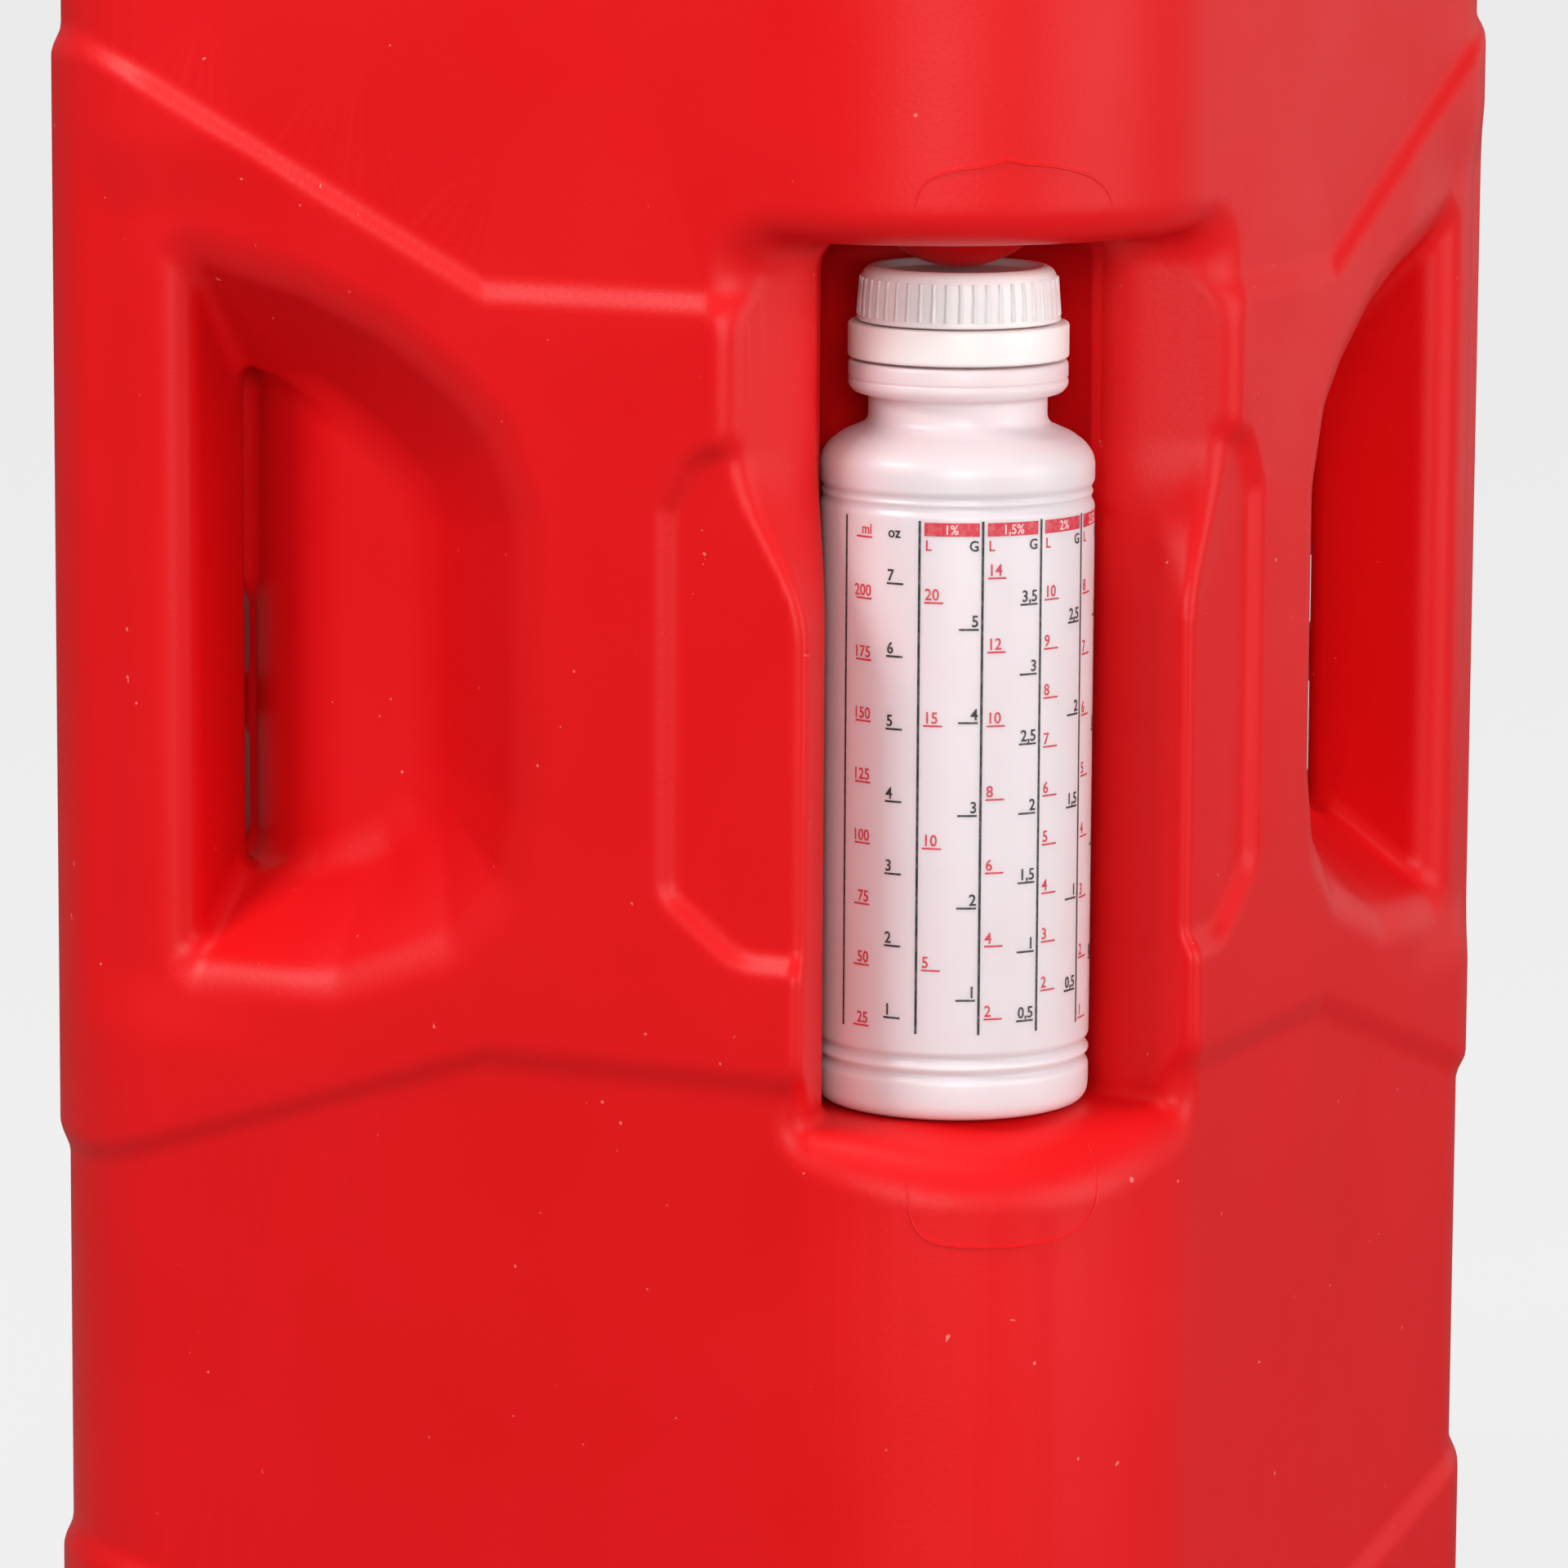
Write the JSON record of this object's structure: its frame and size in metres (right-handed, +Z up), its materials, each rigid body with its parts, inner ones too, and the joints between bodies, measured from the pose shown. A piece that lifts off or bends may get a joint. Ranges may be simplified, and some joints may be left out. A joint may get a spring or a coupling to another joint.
{
  "type": "fuel can",
  "caption": "Square red plastic fuel can with vertical corner grips, a top handle and filler cap, and a graduated mixing bottle stowed in a corner pocket.",
  "frame": {"origin": "centre of the can's base, on the ground plane", "axes": "+Z up; the bottle pocket faces -Y, and the two grip corners lie on the X axis"},
  "size_m": [0.3066, 0.2866, 0.482],
  "materials": {
    "can": "satin red, fine moulded grain",
    "filler_cap": "satin black",
    "seal": "matt",
    "bottle": "translucent natural white with printed scales",
    "bottle_cap": "satin white",
    "liner": "matt foam"
  },
  "bodies": {
    "can": {"can_body": "can"},
    "filler_seal": {"filler_cap_seal": "seal"},
    "filler_cap": {"filler_cap": "filler_cap"},
    "bottle": {"mixing_bottle": "bottle", "tamper_ring": "bottle_cap"},
    "bottle_cap": {"bottle_cap": "bottle_cap", "bottle_cap_liner": "liner"}
  },
  "joints": [
    {"name": "filler_cap_lift", "type": "slide", "parent": "can", "child": "filler_seal", "axis": [0, 0, 1], "range_m": [0, 0.026]},
    {"name": "filler_cap_turn", "type": "hinge", "parent": "filler_seal", "child": "filler_cap", "pos_m": [0, -0.07, 0.45], "axis": [0, 0, 1], "range_deg": [0, 1170]},
    {"name": "bottle_slide", "type": "slide", "parent": "can", "child": "bottle", "axis": [0, -1, 0], "range_m": [0, 0.11]},
    {"name": "bottle_cap_turn", "type": "hinge", "parent": "bottle", "child": "bottle_cap", "pos_m": [0, -0.102, 0.31], "axis": [0, 0, 1], "range_deg": [0, 90]}
  ],
  "couplings": [
    {"joint": "filler_cap_lift", "follows": "filler_cap_turn", "m_per_rad": 0.0012732}
  ]
}
